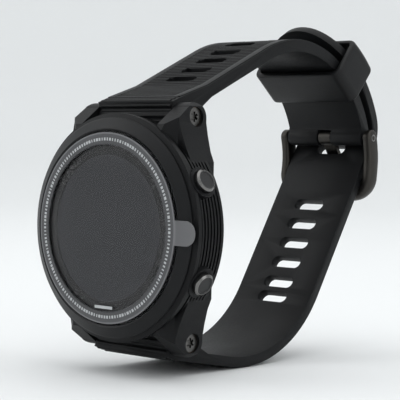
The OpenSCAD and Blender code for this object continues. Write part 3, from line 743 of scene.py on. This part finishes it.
def buckle_skin(around=20):
    route = buckle_route()
    verts = []
    for i, (x, z, share) in enumerate(route):
        before, after = route[max(i - 1, 0)], route[min(i + 1, len(route) - 1)]
        run = Vector((after[0] - before[0], after[1] - before[1])).normalized()
        over = max(z - BUCKLE_C.y, 0)
        deep = sqrt(max((ARM_W / 2) ** 2 - over ** 2, 0.04))
        deep = deep * (1 - share) + BAR_R * share
        thick = ARM_T / 2 * (1 - share ** 3) + BAR_R * share ** 3
        thick *= 1 - 0.35 * (over / 1.9) ** 4
        down_arm = min(share / ARM_SHARE, 1)
        y = BUCKLE_C.x + (BAR_C.x - BUCKLE_C.x) * down_arm + ARM_BOW * sin(pi * down_arm)
        power = 2 / (2 + 2.5 * (1 - share))
        for k in range(around):
            c, d = cos(2 * pi * k / around), sin(2 * pi * k / around)
            u = thick * (abs(c) ** power) * (1 if c > 0 else -1)
            v = deep * (abs(d) ** power) * (1 if d > 0 else -1)
            verts.append(((x - u * run.y) * MM, (y + v) * MM, (z + u * run.x) * MM))
    last = len(route) - 1
    faces = [tuple(range(around - 1, -1, -1)), tuple(last * around + k for k in range(around))]
    for i in range(last):
        a, b = i * around, (i + 1) * around
        faces += [(a + k, a + (k + 1) % around, b + (k + 1) % around, b + k) for k in range(around)]
    obj = new_object("buckle_loop_skin", verts, faces)
    outward(obj)
    return smooth(obj, 50)


finish_piece(buckle_skin(), "buckle", "buckle_metal", FINISH["buckle_metal"], "buckle_frame")

# %% [markdown]
# ## The dial
# Under the glass lies a printed black border with a ring of fine marks, and inside it the grey display. The
# border is a thin flat ring just under the glass. Anything turned about the case's own axis is made by one
# lathe helper: a profile of (radius, height) points is carried round, the height measured from the back face.


# %% Lathe helper
def lathe(name, profile, steps=96):
    """profile is a closed loop of (radius, height above the back face) in millimetres."""
    m = len(profile)
    verts = []
    for i in range(steps):
        a = 2 * pi * i / steps
        verts += [(r * cos(a) * MM, -h * MM, r * sin(a) * MM) for r, h in profile]
    faces = []
    for i in range(steps):
        a, b = i * m, (i + 1) % steps * m
        faces += [(a + j, a + (j + 1) % m, b + (j + 1) % m, b + j) for j in range(m)]
    obj = new_object(name, verts, faces)
    outward(obj)
    return obj


def height_of(node):
    """Lowest and highest point of a node above the back face, in millimetres."""
    lo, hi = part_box(node)
    return -hi.y / MM, -lo.y / MM


print("lens spans", [round(v, 2) for v in height_of("lens")])

# %% [markdown]
# ## Clear and printed layers
# The glass and the film that the watch is sold with are seen through. The glass is nearly clear all over.
# The film is clear in the middle and shows as a frosted rim and pull tab, so its tone and alpha follow the
# distance to the case's axis. A node group gives that distance in millimetres.


# %% The radius group and the layered finishes
def build_radius():
    tree = bpy.data.node_groups.new("distance from the dial axis", "ShaderNodeTree")
    tree.interface.new_socket("Millimetres", in_out="OUTPUT", socket_type="NodeSocketFloat")
    out = tree.nodes.new("NodeGroupOutput")
    place = tree.nodes.new("ShaderNodeTexCoord")
    flat = tree.nodes.new("ShaderNodeVectorMath")
    flat.operation = "MULTIPLY"
    flat.inputs[1].default_value = (1000, 0, 1000)
    size = tree.nodes.new("ShaderNodeVectorMath")
    size.operation = "LENGTH"
    link(tree, place.outputs["Object"], flat.inputs[0])
    link(tree, flat.outputs["Vector"], size.inputs[0])
    link(tree, size.outputs["Value"], out.inputs["Millimetres"])
    return tree


RADIUS = build_radius()


RAMP_END = 30


def radial_ramp(tree, stops):
    """Steps of colour or grey by radius: stops is a list of (millimetres, rgb or grey)."""
    size = tree.nodes.new("ShaderNodeGroup")
    size.node_tree = RADIUS
    scaled = tree.nodes.new("ShaderNodeMath")
    scaled.operation = "DIVIDE"
    scaled.inputs[1].default_value = RAMP_END
    ramp = tree.nodes.new("ShaderNodeValToRGB")
    link(tree, size.outputs["Millimetres"], scaled.inputs[0])
    link(tree, scaled.outputs[0], ramp.inputs["Fac"])
    elements = ramp.color_ramp.elements
    for i, (r, value) in enumerate(stops):
        item = elements[i] if i < 2 else elements.new(r / RAMP_END)
        item.position = r / RAMP_END
        item.color = (value, value, value, 1) if isinstance(value, (int, float)) else (*value, 1)
    return ramp.outputs["Color"]


def layered(name, alpha_stops, tone_stops, **grain):
    """A grained finish whose tone and alpha change with the distance from the dial's axis."""
    mat = grained(name, tone_stops[0][1], **grain)
    tree = mat.node_tree
    shader = tree.nodes["Principled BSDF"]
    link(tree, radial_ramp(tree, tone_stops), shader.inputs["Base Color"])
    link(tree, radial_ramp(tree, alpha_stops), shader.inputs["Alpha"])
    return mat


FILM_ALPHA = [(0, 0.0), (17.1, 0.0), (17.5, 1.0), (RAMP_END, 1.0)]
FILM_TONE = [(0, (0.05, 0.05, 0.054)), (17.1, (0.05, 0.05, 0.054)), (17.5, (0.052, 0.053, 0.056)),
             (19.45, (0.065, 0.066, 0.07)), (19.6, (0.16, 0.16, 0.168)), (19.95, (0.13, 0.13, 0.135)),
             (20.3, (0.1, 0.1, 0.105)), (RAMP_END, (0.14, 0.14, 0.145))]
FILM = layered("frosted film", FILM_ALPHA, FILM_TONE, cells=420, depth=0.0, rough=(0.32, 0.38), specular=0.35)
GLASS = grained("front glass", (0.03, 0.03, 0.032), depth=0.0, rough=(0.03, 0.06))
GLASS.node_tree.nodes["Principled BSDF"].inputs["Alpha"].default_value = 0.07
DISPLAY = grained("grey display", (0.033, 0.034, 0.039), spread=0.03, cells=900, depth=0.0,
                  rough=(0.28, 0.34))
PRINT = grained("printed border", (0.024, 0.024, 0.025), spread=0.1, depth=0.02, rough=(0.2, 0.3))
INK = grained("printed marks", (0.42, 0.43, 0.44), spread=0.05, depth=0.02, rough=(0.3, 0.4))
RIM = grained("bright bevel", (0.17, 0.167, 0.163), spread=0.08, metallic=1, rough=(0.16, 0.26))
BRONZE = grained("bronze rim", (0.09, 0.07, 0.055), spread=0.12, metallic=1, rough=(0.25, 0.4))
paint(nodes["screen_film"], FILM)
print("layered finishes:", FILM.name, GLASS.name)

# %% [markdown]
# ## Marks round the dial
# The real film carries a ring of fine print. Here it is a ring of plain dashes whose lengths vary, which a
# tree deals out evenly: a mesh circle gives the places, and a random value with a fixed seed the lengths.


# %% The mark ring tree
MARK_T, MARK_SEED, SHORTEST_MARK = 0.02, 7, 0.35


def build_marks():
    tree, given, out = new_tree("ring of marks", [
        ("Count", "NodeSocketInt"), ("Radius", "NodeSocketFloat"), ("Length", "NodeSocketFloat"),
        ("Width", "NodeSocketFloat"), ("Height", "NodeSocketFloat"), ("Material", "NodeSocketMaterial")])
    circle = tree.nodes.new("GeometryNodeMeshCircle")
    mark = tree.nodes.new("GeometryNodeMeshCube")
    size = tree.nodes.new("ShaderNodeCombineXYZ")
    size.inputs["Z"].default_value = MARK_T * MM
    index = tree.nodes.new("GeometryNodeInputIndex")
    share = tree.nodes.new("ShaderNodeMath")
    share.operation = "DIVIDE"
    angle = tree.nodes.new("ShaderNodeMath")
    angle.operation = "MULTIPLY"
    angle.inputs[1].default_value = 2 * pi
    turn = tree.nodes.new("ShaderNodeCombineXYZ")
    vary = tree.nodes.new("FunctionNodeRandomValue")
    vary.data_type = "FLOAT"
    vary.inputs["Seed"].default_value = MARK_SEED
    low, high = [s for s in vary.inputs if s.type == "VALUE" and s.name in ("Min", "Max") and s.enabled][:2]
    low.default_value, high.default_value = SHORTEST_MARK, 1.0
    stretch = tree.nodes.new("ShaderNodeCombineXYZ")
    stretch.inputs["X"].default_value = stretch.inputs["Z"].default_value = 1
    put = tree.nodes.new("GeometryNodeInstanceOnPoints")
    stand = tree.nodes.new("GeometryNodeTransform")
    stand.inputs["Rotation"].default_value = (pi / 2, 0, 0)
    lift = tree.nodes.new("ShaderNodeCombineXYZ")
    down = tree.nodes.new("ShaderNodeMath")
    down.operation = "MULTIPLY"
    down.inputs[1].default_value = -1
    link(tree, given.outputs["Count"], circle.inputs["Vertices"])
    link(tree, given.outputs["Radius"], circle.inputs["Radius"])
    link(tree, given.outputs["Width"], size.inputs["X"])
    link(tree, given.outputs["Length"], size.inputs["Y"])
    link(tree, size.outputs["Vector"], mark.inputs["Size"])
    link(tree, index.outputs["Index"], share.inputs[0])
    link(tree, given.outputs["Count"], share.inputs[1])
    link(tree, share.outputs[0], angle.inputs[0])
    link(tree, angle.outputs[0], turn.inputs["Z"])
    link(tree, [s for s in vary.outputs if s.enabled][0], stretch.inputs["Y"])
    link(tree, circle.outputs["Mesh"], put.inputs["Points"])
    link(tree, mark.outputs["Mesh"], put.inputs["Instance"])
    link(tree, turn.outputs["Vector"], put.inputs["Rotation"])
    link(tree, stretch.outputs["Vector"], put.inputs["Scale"])
    link(tree, given.outputs["Height"], down.inputs[0])
    link(tree, down.outputs[0], lift.inputs["Y"])
    link(tree, put.outputs["Instances"], stand.inputs["Geometry"])
    link(tree, lift.outputs["Vector"], stand.inputs["Translation"])
    end_tree(tree, stand.outputs["Geometry"], given, out)
    return tree


MARKS = build_marks()
print("tree:", MARKS.name)

# %% Border, marks and the plain bar in place of a name
glass_high = height_of("lens")[1]
GLASS_R, GLASS_EDGE, GLASS_T, GLASS_SINK = 20.2, 0.25, 0.35, 0.02
AXIS_R = 0.001
PRINT_T, LAYER_GAP = 0.04, 0.03
print_high = glass_high - GLASS_T - LAYER_GAP
DISPLAY_R, BORDER_R = 15.2, 19.9
dial_border = lathe("dial_border", [(DISPLAY_R, print_high - PRINT_T), (BORDER_R, print_high - PRINT_T),
                                    (BORDER_R, print_high), (DISPLAY_R, print_high)])
finish_piece(dial_border, "case", "display", PRINT)
display_foot, display_high = height_of("display_panel")[0] + 0.05, print_high - PRINT_T - 0.01
display_face = lathe("display_face", [(AXIS_R, display_foot), (BORDER_R - 0.1, display_foot),
                                      (BORDER_R - 0.1, display_high), (AXIS_R, display_high)])
smooth(display_face, 4)
finish_piece(display_face, "case", "display", DISPLAY, "display_panel")
front_glass = lathe("front_glass", [
    (AXIS_R, glass_high - GLASS_T), (GLASS_R, glass_high - GLASS_T), (GLASS_R, glass_high - GLASS_EDGE),
    (GLASS_R - GLASS_EDGE, glass_high - GLASS_SINK), (AXIS_R, glass_high - GLASS_SINK)], 128)
smooth(front_glass, 4)
finish_piece(front_glass, "case", "lens_glass", GLASS, "lens")
dial_marks = new_object("dial_marks", [(0, 0, 0)], [])
film_top = height_of("screen_film")[1]
grow(dial_marks, MARKS, {"Count": 150, "Radius": 18.4 * MM, "Length": 0.62 * MM, "Width": 0.6 * MM,
                         "Height": (film_top + 0.006) * MM, "Material": INK})
finish_piece(dial_marks, "case", "film", None)
BAR_LOW, BAR_HIGH, BAR_HALF = -16.7, -16.1, 2.6
bar_foot, bar_face = -film_top - 0.002, -film_top - 0.02
plain_bar = prism("plain_bar", [Vector((bar_face, BAR_LOW)), Vector((bar_foot, BAR_LOW)),
                                Vector((bar_foot, BAR_HIGH)), Vector((bar_face, BAR_HIGH))],
                  -BAR_HALF, BAR_HALF)
finish_piece(plain_bar, "case", "display", INK)

# %% [markdown]
# ## Button and screw rims
# Each button is turned from dark coated steel, and its cut bevel shows bright. Each lug screw sits in a
# pocket with a faint bronze ring. Both are rings about the piece's own axis, so one helper makes them.


# %% Rims
BUTTON_FACE_R, BUTTON_R, BUTTON_H = 25.1, 2.4, 8.0
BUTTON_ANGLES = {"start": 25, "lap": -25, "light": 155, "up": 180, "down": 205}
RING_STEPS = 48


def ring_about(name, centre, axis, profile):
    """profile is a closed loop of (radius, distance along the axis) in millimetres about centre."""
    axis = Vector(axis).normalized()
    side = axis.orthogonal().normalized()
    up = axis.cross(side)
    m = len(profile)
    verts = []
    for i in range(RING_STEPS):
        a = 2 * pi * i / RING_STEPS
        spoke = cos(a) * side + sin(a) * up
        verts += [(Vector(centre) + r * spoke + d * axis) * MM for r, d in profile]
    faces = []
    for i in range(RING_STEPS):
        a, b = i * m, (i + 1) % RING_STEPS * m
        faces += [(a + j, b + j, b + (j + 1) % m, a + (j + 1) % m) for j in range(m)]
    return smooth(new_object(name, verts, faces), 20)


for label, angle in BUTTON_ANGLES.items():
    out_dir = (cos(radians(angle)), 0, sin(radians(angle)))
    centre = [c * BUTTON_FACE_R for c in out_dir]
    centre[1] = -BUTTON_H
    profile = [(BUTTON_R + 0.012, -0.5), (BUTTON_R + 0.012, -0.35), (BUTTON_R - 0.34, 0.006),
               (BUTTON_R - 0.46, 0.006), (BUTTON_R - 0.46, -0.04), (BUTTON_R - 0.1, -0.5)]
    rim = ring_about("button_rim_" + label, centre, out_dir, profile[::-1])
    finish_piece(rim, label + "_button", "button_metal", RIM)

SCREW_HEAD_R = 1.85
screw_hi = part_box("lug_screws")[1]
for i, (sx, sz) in enumerate(((-1, -1), (-1, 1), (1, -1), (1, 1))):
    centre = (sx * screw_hi.x / MM, PIN.x, sz * PIN.y)
    rim = ring_about("screw_rim_%d" % i, centre, (sx, 0, 0),
                     [(SCREW_HEAD_R + 0.02, -0.3), (SCREW_HEAD_R + 0.3, -0.3), (SCREW_HEAD_R + 0.3, 0.02),
                      (SCREW_HEAD_R + 0.02, 0.02)][::-1])
    finish_piece(rim, "case", "screw_metal", BRONZE)

for side in (-1, 1):
    pin_ring = ring_about("buckle_pin_end_" + ("left" if side < 0 else "right"),
                          (side * (ARM_X + ARM_T / 2), BUCKLE_C.x, BUCKLE_C.y), (side, 0, 0),
                          [(0.42, -0.1), (0.85, -0.1), (0.85, 0.02), (0.66, 0.04), (0.42, -0.04)][::-1])
    finish_piece(pin_ring, "buckle", "bright_steel", RIM)

# %% [markdown]
# ## Floor and light
# A studio table sweeps up behind the object. Here it is a wide shallow bowl of pale paper, so the picture has
# the same even ground from every side. Three soft lights and a bright sky do the rest.

# %% The stage
FLOOR_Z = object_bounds()[0][2]
BOWL = [(0.0, 0.0), (0.9, 0.0), (1.3, 0.03), (1.6, 0.14), (1.85, 0.36), (2.0, 0.7), (2.05, 1.3)]


def build_bowl(steps=72):
    verts = [(0, 0, FLOOR_Z)]
    turns = [2 * pi * i / steps for i in range(steps)]
    for r, h in BOWL[1:]:
        verts += [(r * cos(a), r * sin(a), FLOOR_Z + h) for a in turns]
    faces = [(0, 1 + i, 1 + (i + 1) % steps) for i in range(steps)]
    for k in range(len(BOWL) - 2):
        a, b = 1 + k * steps, 1 + (k + 1) * steps
        faces += [(a + i, b + i, b + (i + 1) % steps, a + (i + 1) % steps) for i in range(steps)]
    obj = new_object("pale_ground", verts, faces)
    obj.data.shade_smooth()
    return obj


ground = build_bowl()
ground.data.materials.append(grained("pale paper", (0.76, 0.77, 0.775), spread=0.015, cells=300, depth=0.02,
                                     rough=(0.7, 0.85)))


def soft_light(name, place, aim, size, power):
    """Rectangular light at place, turned to aim; sizes in metres, power in watts."""
    light = bpy.data.lights.new(name, "AREA")
    light.shape, light.size, light.size_y, light.energy = "RECTANGLE", size[0], size[1], power
    obj = bpy.data.objects.new(name, light)
    obj.location = place
    obj.rotation_euler = (Vector(aim) - Vector(place)).to_track_quat("-Z", "Y").to_euler()
    scene.collection.objects.link(obj)


soft_light("overhead", (0.05, 0.05, 0.75), (0, 0.02, 0), (0.9, 0.9), 1.5)
soft_light("front left", (-0.6, -0.55, 0.4), (0, 0, 0), (0.6, 0.5), 1.3)
soft_light("right side", (0.8, 0.1, 0.35), (0, 0.02, 0), (0.5, 0.5), 1.0)
world = bpy.data.worlds.new("studio sky")
world.use_nodes = True
sky = world.node_tree.nodes["Background"]
sky.inputs["Color"].default_value = (0.95, 0.97, 0.975, 1)
sky.inputs["Strength"].default_value = 1.15
scene.world = world
print("floor at", round(FLOOR_Z / MM, 2), "mm")

# %% [markdown]
# ## Camera
# The camera looks from the right of the dial and a little above it, close enough for the far end of the strap
# to look smaller than the case.

# %% The camera
CAMERA_AT = Vector((0.21302, -0.21995, 0.01655))
CAMERA_RIGHT = Vector((0.740384, 0.671938, 0.018194))
CAMERA_UP = Vector((-0.037069, 0.013790, 0.999218))
camera = bpy.data.cameras.new("camera")
camera.sensor_width = 36
camera.lens = 128.97
camera.clip_start, camera.clip_end = 0.01, 20
camera_obj = bpy.data.objects.new("camera", camera)
scene.collection.objects.link(camera_obj)
back = CAMERA_RIGHT.cross(CAMERA_UP).normalized()
up = back.cross(CAMERA_RIGHT).normalized()
turned = Matrix((CAMERA_RIGHT, up, back)).transposed().to_4x4()
camera_obj.matrix_world = Matrix.Translation(CAMERA_AT) @ turned
scene.camera = camera_obj
scene.view_settings.view_transform = "Standard"
print("camera at", [round(v, 3) for v in CAMERA_AT])
